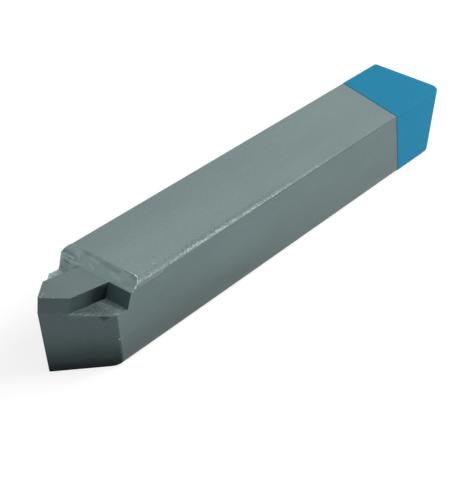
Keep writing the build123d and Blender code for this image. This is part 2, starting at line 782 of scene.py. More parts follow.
def ramp_mark(start: tuple[float, float], end: tuple[float, float], *look: object) -> Mark:
    """Makes a mark on the sloping shoulder, whose two ends are given as seen from above."""
    return Mark((*start, 16.0), (*end, 16.0), *look, Sight.DOWN)


WHITE = (0.72, 0.84, 0.83)
LIGHT = (0.52, 0.70, 0.70)
PALE = (0.46, 0.57, 0.56)
SOFT = (0.27, 0.36, 0.35)
DULL = (0.15, 0.20, 0.198)
GREY = (0.115, 0.155, 0.153)
SOOT = (0.045, 0.06, 0.062)

# Bright lines along the shoulder's edges: partly wear, partly painted highlight where the edges
# catch the light.
EDGE_WEAR_AND_HIGHLIGHTS = (
    Mark((43.19, 3.8, 16.1), (43.19, 6.1, 16.1), 0.10, PALE, 0.8, 0.06, 0.25),
    Mark((43.19, 5.9, 16.1), (43.32, 6.55, 16.07), 0.13, WHITE, 1.4, 0.03, 0.3),
    Mark((43.32, 6.55, 16.07), (43.9, 7.03, 15.9), 0.12, PALE, 0.9, 0.06, 0.3),
    Mark((43.9, 7.05, 15.9), (44.3, 7.4, 15.76), 0.16, WHITE, 0.8, 0.06, 0.3),
    Mark((44.3, 7.4, 15.76), (45.0, 7.7, 15.6), 0.11, PALE, 0.8, 0.05, 0.3),
    Mark((45.15, 7.65, 15.55), (45.45, 7.85, 15.47), 0.26, PALE, 1.5, 0.07, 0.3),
    Mark((46.1, 7.97, 15.25), (46.3, 8.0, 15.15), 0.20, PALE, 1.0, 0.05, 0.3),
)

SHOULDER_MARKS = (
    # The first, wide dull patch over the lip is painted shade where the surface turns from the
    # light.
    ramp_mark((45.1, -7.6), (44.3, -4.9), 2.7, DULL, 0.36, 0.3, 0.8),
    ramp_mark((43.55, -6.7), (43.7, -4.0), 0.5, GREY, 0.6, 0.15, 0.6),
    ramp_mark((43.75, -4.0), (43.95, 0.4), 0.6, GREY, 0.45, 0.15, 0.8),
    ramp_mark((43.95, 0.4), (44.1, 3.1), 0.75, GREY, 0.6, 0.15, 0.7),
    ramp_mark((43.7, 5.6), (43.95, 6.6), 0.55, GREY, 0.8, 0.12, 0.4),
    ramp_mark((46.2, 4.6), (45.0, 7.2), 1.5, DULL, 0.6, 0.3, 0.7),
    ramp_mark((46.6, 3.4), (46.7, 8.0), 0.5, GREY, 0.45, 0.1, 0.5),
    ramp_mark((44.55, -5.35), (45.0, -4.75), 0.15, SOFT, 0.4, 0.05, 0.3),
    ramp_mark((45.0, -4.75), (45.7, -4.35), 0.14, SOFT, 0.4, 0.05, 0.3),
    ramp_mark((44.3, -4.5), (44.85, -3.85), 0.13, SOFT, 0.25, 0.06, 0.3),
    ramp_mark((44.85, -3.85), (45.6, -3.4), 0.13, SOFT, 0.3, 0.06, 0.3),
    ramp_mark((44.7, -6.1), (44.4, -5.2), 0.13, GREY, 0.3, 0.05, 0.3),
    ramp_mark((44.4, -5.2), (45.2, -4.2), 0.11, GREY, 0.3, 0.05, 0.3),
    ramp_mark((44.2, -2.9), (44.35, -1.2), 0.6, SOFT, 0.5, 0.25, 0.35),
    ramp_mark((45.3, -2.2), (45.9, -0.8), 0.35, SOFT, 0.5, 0.18, 0.3),
    ramp_mark((45.0, 2.3), (45.5, 4.7), 0.7, SOFT, 0.45, 0.3, 0.3),
    ramp_mark((46.3, 4.6), (46.2, 7.0), 0.12, SOFT, 0.3, 0.06, 0.3),
    ramp_mark((43.38, 4.0), (43.44, 6.2), 0.13, SOOT, 1.0, 0.13, 0.22),
)

# Light streaks over the lip's front: painted highlight along its rounded edge, and painted light
# where its steep front would fall into shade.
LIP_PAINTED_LIGHT = (
    Mark((45.9, -7.2, 15.5), (45.95, -5.3, 15.4), 0.42, LIGHT, 0.50, 0.24, 0.2),
    Mark((46.0, -6.0, 15.35), (46.05, -5.3, 15.25), 0.30, LIGHT, 0.60, 0.20, 0.2),
    Mark((45.95, -7.95, 15.3), (46.1, -7.35, 15.2), 0.50, LIGHT, 1.00, 0.30, 0.2),
    Mark((46.08, -7.35, 15.22), (46.15, -6.3, 15.15), 0.42, LIGHT, 1.00, 0.30, 0.2),
    Mark((46.2, -6.3, 15.1), (46.4, -5.6, 14.95), 0.32, LIGHT, 0.90, 0.24, 0.2),
    Mark((46.4, -5.6, 14.95), (46.56, -4.66, 15.1), 0.24, PALE, 0.80, 0.08, 0.3),
    Mark((46.56, -4.66, 15.15), (46.38, -3.93, 15.21), 0.24, SOFT, 0.9, 0.08, 0.3),
    Mark((46.38, -3.93, 15.21), (45.82, -2.64, 15.36), 0.20, SOFT, 0.5, 0.10, 0.3),
)

LEFT_WALL_MARKS = (
    Mark((46.39, -6.85, 14.55), (46.39, -6.1, 14.38), 0.24, DULL, 1.0, 0.20, 0.16),
    Mark((46.41, -5.85, 14.4), (46.5, -5.4, 14.45), 0.20, DULL, 1.0, 0.18, 0.16),
    Mark((46.32, -7.6, 12.95), (46.32, -7.0, 12.85), 0.24, DULL, 0.9, 0.12, 0.25),
)

SIDE_MARKS = (
    Mark((44.6, 8.0, 15.45), (38.0, 8.0, 15.56), 0.16, PALE, 0.5, 0.04, 0.4),
    # The next two soft dark patches down the side are painted reflection.
    Mark((41.5, 8.0, 6.6), (33.0, 8.0, 7.2), 1.5, (0.11, 0.17, 0.16), 0.35, 0.4, 1.2),
    Mark((33.0, 8.0, 7.2), (26.0, 8.0, 6.2), 1.2, (0.11, 0.17, 0.16), 0.30, 0.4, 1.2),
    Mark((43.5, 7.75, 15.68), (38.5, 7.79, 15.72), 0.10, SOOT, 0.5, 0.03, 0.5),
)

TOP_MARKS = (
    Mark((40.78, 3.43, 16.1), (40.85, 3.5, 16.1), 0.16, PALE, 0.5, 0.03, 0.3),
    Mark((40.23, 4.4, 16.1), (40.3, 4.44, 16.1), 0.16, PALE, 0.5, 0.03, 0.3),
    Mark((38.4, 5.75, 16.1), (37.9, 6.25, 16.1), 0.14, PALE, 0.35, 0.06, 0.25),
    Mark((38.5, 6.5, 16.07), (37.4, 6.6, 16.07), 0.13, GREY, 0.5, 0.08, 0.25),
    Mark((33.9, 6.4, 16.1), (33.2, 6.5, 16.1), 0.25, GREY, 0.5, 0.20, 0.3),
    Mark((29.9, 6.65, 16.1), (28.5, 6.85, 16.1), 0.30, GREY, 0.8, 0.25, 0.3),
    Mark((25.8, 6.7, 16.1), (24.6, 6.8, 16.1), 0.28, GREY, 0.6, 0.22, 0.3),
)

# The first mark evens the floor's painted light in its corner by the +Y edge and the wall; the
# others are light lines along the worn +Y edge.
FLOOR_MARKS_AND_PAINTED_LIGHT = (
    Mark((47.6, 8.0, 12.05), (50.6, 7.8, 12.5), 1.0, (0.145, 0.188, 0.186), 1.1, 0.15, 0.4),
    Mark((52.4, 6.6, 12.87), (50.5, 8.0, 12.55), 0.22, SOFT, 0.22, 0.14, 0.3),
    Mark((50.5, 8.0, 12.5), (49.0, 8.0, 12.28), 0.17, SOFT, 0.3, 0.12, 0.3),
    Mark((49.0, 8.0, 12.28), (47.2, 8.0, 12.0), 0.14, SOFT, 0.4, 0.08, 0.3),
)

# A light line at the wall's foot: painted light against the shade in the seat's corner.
WALL_MARKS = (
    Mark((47.2, 3.0, 11.95), (47.2, 8.0, 11.95), 0.26, SOFT, 0.7, 0.10, 0.4, Sight.ALONG),
)

# The first mark is painted shade along the flank's foot, and the light line down its corner with
# the side is painted light on that edge.
FLANK_SHADE_AND_MARKS = (
    Mark((56.9, 0.0, 0.2), (46.1, 8.0, 0.2), 2.8, (0.006, 0.012, 0.013), 0.55, 0.3, 1.2),
    Mark((51.2, 6.95, 12.0), (52.1, 6.3, 12.15), 0.5, (0.06, 0.1, 0.104), 0.9, 0.10, 0.5),
    Mark((51.5, 6.7, 11.8), (51.7, 6.5, 11.5), 0.4, (0.06, 0.1, 0.104), 0.8, 0.10, 0.5),
    Mark((50.0, 8.0, 12.3), (46.9, 8.0, 1.2), 0.55, (0.20, 0.285, 0.29), 0.55, 0.08, 0.5),
    Mark((48.58, 7.9, 6.68), (48.5, 7.94, 6.52), 0.26, WHITE, 1.0, 0.03, 0.3),
    Mark((56.5, 3.4, 13.2), (54.3, 4.9, 12.6), 0.75, SOFT, 0.35, 0.45, 0.3),
)


@dataclass(frozen=True, kw_only=True)
class Finish:
    """What every finish has: its gloss, its marks and the way it is put together."""

    name: str
    roughness: float = 0.5
    metallic: float = 0.0
    specular: float = 0.5
    marks: tuple[Mark, ...] = ()

    def surface(self, bench: NodeBench, place: Socket) -> tuple[Socket, Socket, float]:
        """Lays out the surface without its marks.

        Args:
            bench: the bench in the material.
            place: the place in millimetres.

        Returns:
            Its colour, the height of its relief from 0 to 1, and the depth of a full height.
        """
        raise NotImplementedError(self.name)

    def dullness(self, bench: NodeBench, place: Socket) -> object:
        """Roughness, the same all over unless a finish has its own way."""
        return self.roughness

    def material(self) -> bpy.types.Material:
        """Builds the material.

        Returns:
            The finished material.
        """
        made, bench, shader = new_material(self.name)
        place = bench.place()
        colour, height, depth = self.surface(bench, place)
        for mark in self.marks:
            colour = mark.lay_on(bench, colour)
        bench.fill(
            shader,
            Base_Color=colour,
            Roughness=self.dullness(bench, place),
            Metallic=self.metallic,
            Specular_IOR_Level=self.specular,
            Normal=bench.bump(height, depth),
        )
        return made


@dataclass(frozen=True, kw_only=True)
class SteelFinish(Finish):
    """Dull drawn tool steel with painted shade, which darkens it towards its foot and makes its
    side darker than its top, and with one top edge dressed bright.

    The dressed facet faces the lamp more than the faces beside it, so its own material has painted
    shade: darker tones above and below the bright band.
    """

    name: str = "shank_steel"
    metallic: float = 0.15
    marks: tuple[Mark, ...] = (*TOP_MARKS, *SIDE_MARKS, *EDGE_WEAR_AND_HIGHLIGHTS)
    top: Colour = (0.182, 0.255, 0.252)
    side: Colour = (0.160, 0.240, 0.239)
    bright: Colour = (0.290, 0.362, 0.358)
    above: float = 1.0
    below: float = 1.0
    top_z: float = 16.1
    edge_y: float = 8.0
    edge_slope: float = 0.81
    band_width: float = 0.70
    halo_width: float = 1.6
    gloss_swing: float = 0.16
    lay_share: float = 0.1
    relief: float = 0.00006

    def painted_shade(self, bench: NodeBench, x: Socket, y: Socket, z: Socket) -> Socket:
        """Works out the painted shade that darkens the steel from place to place.

        Each row is one loss: how large it is along the shank, and its share by depth or width.

        Args:
            bench: the bench in the material.
            x: place along the shank.
            y: place across it.
            z: height.

        Returns:
            The factor on the colour.
        """
        depth = bench.maths("SUBTRACT", self.top_z, z)
        losses = (
            (bench.fade(x, -45.0, 48.0, 0.12, 0.5), bench.fade(depth, 2.0, 17.0)),
            (bench.fade(x, -40.0, 44.0, 0.02, 0.16), bench.fade(y, 7.0, -8.0)),
            (bench.fade(x, 12.0, 47.0, -0.04, 0.08), bench.fade(depth, 0.0, 1.0)),
            (bench.fade(x, 22.0, -4.0, 0.0, 0.085), bench.fade(depth, 0.3, 1.0)),
            (bench.fade(x, -14.0, -32.0, 0.0, -0.03), bench.fade(depth, 0.3, 1.0)),
            (bench.fade(x, -20.0, 44.0, 0.0, 0.18), bench.fade(depth, 9.0, 12.5)),
            (bench.fade(x, 34.0, 16.0, 0.0, 0.045), bench.fade(depth, 1.0, 0.3)),
            (bench.fade(x, 20.0, -45.0, 0.0, 0.06), 1.0),
            (bench.fade(z, 1.4, 0.7, 0.0, 0.22), 1.0),
        )
        kept = (bench.maths("SUBTRACT", 1.0, bench.times(*loss)) for loss in losses)
        return bench.times(*kept)

    def lay_band(self, bench: NodeBench, place: Socket, colour: Socket) -> tuple[Socket, Socket]:
        """Lays the bright band and its dull halo along the dressed edge.

        Args:
            bench: the bench in the material.
            place: the place in millimetres.
            colour: the colour under them.

        Returns:
            The colour with the band, and the band's mask.
        """
        x, y, z = bench.parts(place)
        down = bench.times(bench.maths("SUBTRACT", self.top_z, z), self.edge_slope)
        off = bench.maths("ADD", bench.maths("SUBTRACT", y, self.edge_y), down)
        rough = bench.maths("SUBTRACT", bench.noise(place, 0.6, 4.0, (1.8, 1.0, 1.0)), 0.5)
        inner = bench.maths("MULTIPLY_ADD", rough, 0.9, off)
        outer = bench.maths("MULTIPLY_ADD", rough, 0.2, off)
        strength = bench.fade(x, -24.0, -12.0, 0.0, 0.55)
        for start, end, rise in ((-2.0, 3.0, 0.2), (17.0, 22.0, 0.25), (36.0, 40.0, -0.25)):
            strength = bench.maths("ADD", strength, bench.fade(x, start, end, 0.0, rise))
        patches = bench.noise(place, 1.3, 2.0, (2.0, 1.0, 1.0))
        strength = bench.times(strength, bench.fade(patches, 0.36, 0.52, 0.35, 1.1))
        # above and below scale the colour on either side of the band; on the dressed facet they are
        # painted shade.
        colour = bench.tint(colour, bench.fade(off, 0.0, 0.04, self.above, self.below))
        specks = bench.fade(bench.noise(place, 0.4, 3.0), 0.38, 0.52, 0.66, 1.0)
        halo = bench.fade(inner, -self.halo_width - 0.1, 0.15 - self.halo_width)
        halo = bench.times(halo, bench.fade(x, -10.0, 10.0), bench.fade(off, 0.02, 0.0))
        colour = bench.blend(halo, colour, bench.tint(colour, specks))
        band = bench.fade(inner, -self.band_width - 0.08, 0.08 - self.band_width)
        band = bench.times(band, bench.fade(outer, 0.05, -0.02), strength)
        grit = bench.fade(bench.noise(place, 0.3, 3.0, (1.4, 1.0, 1.0)), 0.36, 0.64, 0.55, 1.4)
        return bench.blend(band, colour, bench.tint(self.bright, grit)), band

    def surface(self, bench: NodeBench, place: Socket) -> tuple[Socket, Socket, float]:
        """Lays out the steel with its painted shade, its fine lay along the shank and grit on the
        band.

        Args:
            bench: the bench in the material.
            place: the place in millimetres.

        Returns:
            Its colour, the height of its relief and the depth of that.
        """
        x, y, z = bench.parts(place)
        wide = bench.use(Effect.TONE, Stretch=(3.0, 1.0, 1.0), Size=6.0, Contrast=0.06)
        fine = bench.use(Effect.TONE, Stretch=(1.6, 1.0, 1.0), Size=0.4, Contrast=0.07)
        tone = bench.times(wide, fine, self.painted_shade(bench, x, y, z))
        # The side's colour is a little darker than the top's: painted shade.
        beside = bench.fade(bench.maths("ABSOLUTE", y), self.edge_y - 0.15, self.edge_y - 0.02)
        colour = bench.tint(bench.blend(beside, self.top, self.side), tone)
        colour, band = self.lay_band(bench, place, colour)
        lay = bench.noise(place, 0.09, 2.0, (30.0, 1.0, 1.0))
        grit = bench.times(bench.noise(place, 0.22, 3.0), band)
        height = bench.maths("ADD", bench.times(lay, self.lay_share), grit)
        return colour, height, self.relief

    def dullness(self, bench: NodeBench, place: Socket) -> Socket:
        """Roughness that swings in long streaks along the shank.

        Args:
            bench: the bench in the material.
            place: the place in millimetres.

        Returns:
            The roughness.
        """
        streaks = bench.noise(place, 0.6, 3.0, (8.0, 1.0, 1.0))
        lowest = self.roughness - self.gloss_swing / 2
        return bench.maths("MULTIPLY_ADD", streaks, self.gloss_swing, lowest)


@dataclass(frozen=True, kw_only=True)
class FlankFinish(Finish):
    """Ground flank of the steel or the carbide, with painted shade that darkens it towards its
    foot.
    """

    top: Colour
    foot: Colour
    foot_z: float = 0.0
    top_z: float = 1.0
    roughness: float = 0.45
    metallic: float = 0.1
    specular: float = 0.2
    wobble: float = 1.2
    relief: float = 0.000006

    def surface(self, bench: NodeBench, place: Socket) -> tuple[Socket, Socket, float]:
        """Lays out the flank, with the upright lay of its grinding.

        Args:
            bench: the bench in the material.
            place: the place in millimetres.

        Returns:
            Its colour, the height of its relief and the depth of that.
        """
        z = bench.parts(place)[2]
        wobble = bench.maths("SUBTRACT", bench.noise(place, 3.0, 2.0), 0.5)
        level = bench.maths("MULTIPLY_ADD", wobble, self.wobble, z)
        colour = bench.blend(bench.fade(level, self.foot_z, self.top_z), self.foot, self.top)
        tone = bench.use(Effect.TONE, Stretch=(1.0, 1.0, 0.5), Size=0.8, Contrast=0.08)
        lay = bench.noise(place, 0.08, 2.0, (20.0, 20.0, 1.0))
        return bench.tint(colour, tone), lay, self.relief


@dataclass(frozen=True, kw_only=True)
class FaceFinish(Finish):
    """One face of the seat, the shoulder or the tip, uneven and streaked."""

    colour: Colour
    tone_size: float
    contrast: float
    grain: float
    relief: float
    roughness: float = 0.55
    metallic: float = 0.1
    detail: float = 3.0
    # lift lightens the face towards its rear end, by lift at lift_from down to none at lift_to:
    # painted light against the shade by the wall.
    lift: float = 1.0
    lift_from: float = 47.2
    lift_to: float = 51.2
    flecks: float = 0.0

    def surface(self, bench: NodeBench, place: Socket) -> tuple[Socket, Socket, float]:
        """Lays out the face, with its flecks and, where it has them, painted light on its rear end.

        Args:
            bench: the bench in the material.
            place: the place in millimetres.

        Returns:
            Its colour, the height of its relief and the depth of that.
        """
        tone = bench.use(Effect.TONE, Size=self.tone_size, Contrast=self.contrast)
        flecks = bench.use(Effect.FLECKS, Size=0.45, Amount=0.7)
        tone = bench.maths("MULTIPLY_ADD", flecks, self.flecks, tone)
        lift = bench.fade(bench.parts(place)[0], self.lift_from, self.lift_to, self.lift, 1.0)
        colour = bench.tint(self.colour, bench.times(tone, lift))
        return colour, bench.noise(place, self.grain, self.detail), self.relief


@dataclass(frozen=True, kw_only=True)
class BrazeFinish(Finish):
    """Dull braze: light on top behind the tip, dark along the flanks, and near black in the corner,
    painted shade deep between the wall and the tip.
    """

    name: str = "braze"
    metallic: float = 0.2
    specular: float = 0.3
    top: Colour = (0.125, 0.168, 0.162)
    flank: Colour = (0.112, 0.172, 0.178)
    # The corner colour below corner_z is painted shade.
    corner: Colour = (0.02, 0.03, 0.031)
    corner_z: float = 15.0
    flank_x: float = 54.0
    relief: float = 0.000004

    def surface(self, bench: NodeBench, place: Socket) -> tuple[Socket, Socket, float]:
        """Lays out the braze.

        Args:
            bench: the bench in the material.
            place: the place in millimetres.

        Returns:
            Its colour, the height of its relief and the depth of that.
        """
        x, _, z = bench.parts(place)
        high = bench.fade(z, self.corner_z - 0.1, self.corner_z)
        colour = bench.blend(high, self.corner, self.top)
        colour = bench.blend(bench.fade(x, self.flank_x - 1.0, self.flank_x), colour, self.flank)
        tone = bench.use(Effect.TONE, Size=0.6, Contrast=0.08)
        return bench.tint(colour, tone), bench.noise(place, 0.3, 2.0), self.relief


@dataclass(frozen=True, kw_only=True)
class EnamelFinish(Finish):
    """Flat blue enamel with a faint unevenness, with painted shade on its top face and painted
    light on its sides and its front rim.
    """

    name: str = "blue_enamel"
    specular: float = 0.05
    colour: Colour = (0.0145, 0.262, 0.455)
    face_z: float = 16.1
    # side_tone, top_tone and rim_tone are painted light and shade: the sides are lit up and the top
    # dimmed to even out how the lamp falls on them, and the front rim is lit up against its shade.
    side_tone: float = 1.29
    top_tone: float = 0.9
    rim_tone: float = 1.9
    rim_place: Colour = (-43.317, 0.0, 16.1)
    rim_normal: Colour = (0.9037, -0.2506, -0.3469)
    setback: float = 0.1
    relief: float = 0.000008

    def surface(self, bench: NodeBench, place: Socket) -> tuple[Socket, Socket, float]:
        """Lays out the enamel.

        Args:
            bench: the bench in the material.
            place: the place in millimetres.

        Returns:
            Its colour, the height of its relief and the depth of that.
        """
        z, high = bench.parts(place)[2], self.face_z
        level = bench.fade(z, high - 0.22, high - 0.02, self.side_tone, self.top_tone)
        away = bench.vectors("SUBTRACT", place, self.rim_place)
        ahead = bench.vectors("DOT_PRODUCT", away, self.rim_normal)
        rim = bench.fade(ahead, -self.setback - 0.03, -self.setback, 1.0, self.rim_tone)
        tone = bench.use(Effect.TONE, Size=4.0, Contrast=0.02)
        colour = bench.tint(self.colour, bench.times(level, rim, tone))
        return colour, bench.noise(place, 0.8, 2.0), self.relief


def dress(
    piece: Piece,
    finishes: list[Finish],
    zone: Callable[[bpy.types.MeshPolygon], int] | None = None,
) -> None:
    """Gives a piece its materials, and each face the one of its zone.

    Args:
        piece: the object to dress.
        finishes: its finishes, in the order of its zones.
        zone: tells the zone of a face, where there is more than one.
    """
    piece.data.materials.clear()
    for finish in finishes:
        piece.data.materials.append(finish.material())
    if zone:
        for face in piece.data.polygons:
            face.material_index = zone(face)


class Zone(IntEnum):
    """Places on the shank with a finish of their own, in the order of its material slots."""

    BODY = 0
    FLANK = 1
    RAMP = 2
    WALL = 3
    FLOOR = 4
    STRIP = 5
    LEFT_WALL = 6
    FACET = 7


@dataclass
class FrontWear:
    """What brazing and use have left round the seat: a lip, a set-back wall and rough braze.

    Its methods give the share of each press at a place, from 0 to 1.
    """

    seat: Seat
    lip_from: float = 4.3 * MM
    lip_full: float = 6.0 * MM
    lip_height: float = 0.46
    lip_curve: tuple[tuple[float, float], ...] = (
        (-3.5, 0.0),
        (-3.06, 0.15),
        (-2.2, 0.37),
        (-1.6, 0.45),
        (-1.35, 0.43),
        (-1.1, 0.33),
        (-0.8, 0.2),
        (-0.6, 0.08),
        (-0.45, 0.0),
    )
    end_loss: float = 0.35
    wall_setback: float = 0.84 * MM
    foot_gain: float = 1.2
    floor_depth: float = 0.16 * MM
    floor_grain: float = 0.9 * MM
    floor_contrast: float = 1.6
    strip_rise: float = 0.4 * MM
    strip_bulge: float = 0.25 * MM

    def lip(self, place: Vector) -> float:
        """Rise of the lip at the -Y end of the shoulder.

        Args:
            place: the place.

        Returns:
            The share.
        """
        if abs(self.seat.height_off_ramp(place)) > 0.05 * MM:
            return 0.0
        across = fade(-place.y, self.lip_from, self.lip_full)
        height = along_curve((place.x - self.seat.wall_x) / MM, self.lip_curve) / self.lip_height
        return across * height * (1.0 - self.end_loss * fade(-place.y, 7.5 * MM, 8.0 * MM))

    def setback(self, place: Vector) -> float:
        """Setback of the wall under the lip, which grows towards the wall's foot.

        Args:
            place: the place.

        Returns:
            The share.
        """
        seat, height = self.seat, self.seat.height_off_floor(place)
        above = seat.height_off_ramp(place) > 0.02 * MM
        if height < -0.02 * MM or above or place.x >= seat.wall_x + MM:
            return 0.0
        deeper = 1.0 + self.foot_gain * (1.0 - fade(height, 0.0, 3.0 * MM))
        ahead = fade(place.x, seat.wall_x - 0.9 * MM, seat.wall_x - 0.3 * MM)
        across = fade(-place.y, self.lip_from, self.lip_full)
        return across * ahead * deeper / (1.0 + self.foot_gain)

    def floor(self, place: Vector) -> float:
        """Roughness of the floor beside the tip.

        Args:
            place: the place.

        Returns:
            The share.
        """
        height = self.seat.height_off_floor(place)
        near = fade(height, -0.35 * MM, -0.1 * MM) * (1.0 - fade(height, 0.02 * MM, 0.05 * MM))
        beside = self.seat.tip_width / 2
        clear = fade(abs(place.y), beside + 0.05 * MM, beside + 0.4 * MM)
        return near * clear if place.x > self.seat.wall_foot.x + 0.1 * MM else 0.0

    def strip(self, place: Vector) -> float:
        """Rise of the braze beside the tip on the -Y side.

        Args:
            place: the place.

        Returns:
            The share.
        """
        foot = self.seat.wall_foot.x
        ahead = fade(place.x, foot + 0.3 * MM, foot + 2.2 * MM)
        return self.floor(place) * ahead if place.y < 0.0 else 0.0

    def bulge(self, place: Vector) -> float:
        """Bulge of the braze beside the tip out over the -Y flank.

        Args:
            place: the place.

        Returns:
            The share.
        """
        height = self.seat.height_off_floor(place)
        near = fade(height, -0.5 * MM, 0.1 * MM) * (1.0 - fade(height, 0.5 * MM, 0.6 * MM))
        across = fade(-place.y, 4.0 * MM, 6.0 * MM)
        return near * across if place.x > self.seat.wall_x + MM else 0.0

    def shape(self, bar: Piece) -> None:
        """Presses all of it into the shank.

        Args:
            bar: the shank.
        """
        press(bar, self.lip, Push.UP, self.lip_height * MM)
        press(bar, self.setback, Push.ALONG, -self.wall_setback)
        grain = clouds("floor_wear", self.floor_grain, self.floor_contrast)
        press(bar, self.floor, Push.UP, self.floor_depth, grain)
        press(bar, self.strip, Push.UP, self.strip_rise)
        press(bar, self.bulge, Push.ALONG, self.strip_bulge)


@dataclass
class Shank:
    """The square steel shank with its shoulder, seat and ground point."""

    seat: Seat
    width: float = 16.0 * MM
    base_z: float = 0.1 * MM
    butt_x: float = -60.652 * MM
    butt_lean: float = math.radians(3.7)
    butt_slant: float = math.radians(3.3)
    near_radius: float = 2.0 * MM
    far_radius: float = 0.5 * MM
    top_radius: float = 0.2 * MM
    far_top_radius: float = 0.45 * MM
    bottom_radius: float = 1.4 * MM
    facet_width: float = 1.45 * MM
    facet_depth: float = 0.5 * MM
    facet_length: float = 44.0 * MM
    point_radius: float = 0.2 * MM
    near_worn_radius: float = 0.55 * MM
    far_worn_radius: float = 0.12 * MM
    corner_radius: float = 0.55 * MM
    overrun: float = 5.0 * MM
    fine_step: float = 0.25 * MM
    smooth_angle: float = 28.0

    def block_out(self) -> Piece:
        """Blocks out the square bar with its rounded edges and its cropped butt.

        Returns:
            The bar, still longer than the tool.
        """
        half = self.width / 2
        low = Vector((self.butt_x - self.overrun, -half, self.base_z))
        high = Vector((self.seat.point_top.x + self.overrun, half, self.seat.top_z))
        bar = add_block("shank_body", low, high)
        outwards = Vector((-1.0, -math.tan(self.butt_slant), math.tan(self.butt_lean)))
        slice_off(bar, Vector((self.butt_x, 0.0, self.base_z)), outwards)
        behind, tall = self.butt_x + 3 * MM, 10 * MM

        def upright(ends: list[Vector], side: int) -> bool:
            """Tells the butt's upright edges.

            Args:
                ends: the two ends of an edge.
                side: 1 for the +Y side, -1 for the other.

            Returns:
                Whether it is the one on that side.
            """
            first, second = ends
            at_butt = max(first.x, second.x) < behind
            return at_butt and abs(first.z - second.z) > tall and first.y * side > half * 0.99

        for side, radius, segments in ((-1, self.far_radius, 4), (1, self.near_radius, 10)):
            reach = rounding_reach(radius, outwards, ACROSS * side)
            round_edges(bar, lambda ends: upright(ends, side), reach, segments)
        top, base = self.seat.top_z - NEAR, self.base_z + NEAR
        far = self.far_top_radius
        round_edges(bar, lambda ends: all(e.z > top and e.y < HAIR - half for e in ends), far, 4)

        def near_top(ends: list[Vector]) -> bool:
            """Whether an edge bounds the top face, the -Y side apart."""
            return min(e.z for e in ends) > top and max(e.y for e in ends) > far - half + HAIR

        round_edges(bar, near_top, self.top_radius, 3)
        round_edges(bar, lambda ends: max(e.z for e in ends) < base, self.bottom_radius, 6)
        return bar

    def dress_edge(self, bar: Piece) -> None:
        """Dresses the long facet along the top edge of the +Y side.

        Args:
            bar: the shank.
        """
        shoulder_x = self.seat.wall_x - self.seat.shoulder_length
        run_out = Vector((shoulder_x - self.facet_length, self.width / 2, self.seat.top_z))
        to_top = Vector((self.facet_length, -self.facet_width, 0.0))
        to_side = Vector((self.facet_length, 0.0, -self.facet_depth))
        slice_off(bar, run_out, to_top.cross(to_side))

    def mill_seat(self, bar: Piece) -> None:
        """Mills the seat, slopes the shoulder down to it and rounds the wall's -Y corner.

        Args:
            bar: the shank.
        """
        seat, side = self.seat, self.width
        low = Vector((seat.wall_x - 3 * MM, -side, 8 * MM))
        high = Vector((seat.point_top.x + 2 * self.overrun, side, 30 * MM))
        cutter = add_block("seat_cutter", low, high)
        slice_off(cutter, seat.wall_top, -seat.along)
        slice_off(cutter, seat.wall_foot, -seat.off)
        cut_out(bar, cutter)
        low = Vector((seat.wall_x - seat.shoulder_length - 2 * MM, -side, 12 * MM))
        high = Vector((seat.wall_x + 0.3 * MM, side, 20 * MM))
        cutter = add_block("shoulder_cutter", low, high)
        slice_off(cutter, seat.wall_top, -seat.ramp_normal)
        cut_out(bar, cutter)
        front, back = seat.wall_foot.x + 0.1 * MM, seat.wall_x - 0.1 * MM
        far, low_z = -side * 0.499, 11 * MM
        round_edges(
            bar,
            lambda ends: all(e.y < far and back < e.x < front and e.z > low_z for e in ends),
            self.corner_radius,
            5,
        )

    def grind_point(self, bar: Piece) -> None:
        """Grinds the two flanks, and rounds the edge between them and the worn floor edges.

        Args:
            bar: the shank.
        """
        seat, hinge = self.seat, self.seat.point_on_floor
        grind(bar, seat, hinge, seat.body_lean, self.point_radius)
        beside = seat.tip_width / 2 + 0.1 * MM
        score(bar, Vector(), ACROSS, (beside, -beside))

        def worn(ends: list[Vector], side: int, flank: Vector) -> bool:
            """Tells the edges of the floor beside the tip.

            Args:
                ends: the two ends of an edge.
                side: 1 for the +Y side, -1 for the other.
                flank: the normal of the flank on that side.

            Returns:
                Whether it lies between the floor and that flank.
            """
            return all(
                e.y * side > beside - NEAR
                and abs(seat.height_off_floor(e)) < NEAR
                and abs((e - hinge).dot(flank)) < NEAR
                for e in ends
            )

        radii = (self.near_worn_radius, self.far_worn_radius)
        for side, flank, radius in zip((1, -1), seat.flanks(seat.body_lean), radii):
            round_edges(bar, lambda ends: worn(ends, side, flank), radius, 4)

    def score_front(self, bar: Piece) -> None:
        """Scores the shank, finely round the seat and coarsely behind it.

        Args:
            bar: the shank.
        """
        step, seat = self.fine_step, self.seat
        heights = [11.0 * MM + step * n for n in range(21)] + [MM * n for n in (1.5, 3, 5, 7, 9)]
        score(bar, Vector(), UP, heights)
        score(bar, Vector(), ACROSS, [step * n for n in range(-31, 32)])
        back = seat.wall_x - seat.shoulder_length - 0.6 * MM
        lengths = [back + step * n for n in range(73)]
        lengths += [-55 * MM + 5 * MM * n for n in range(20)]
        score(bar, Vector(), ALONG, lengths)

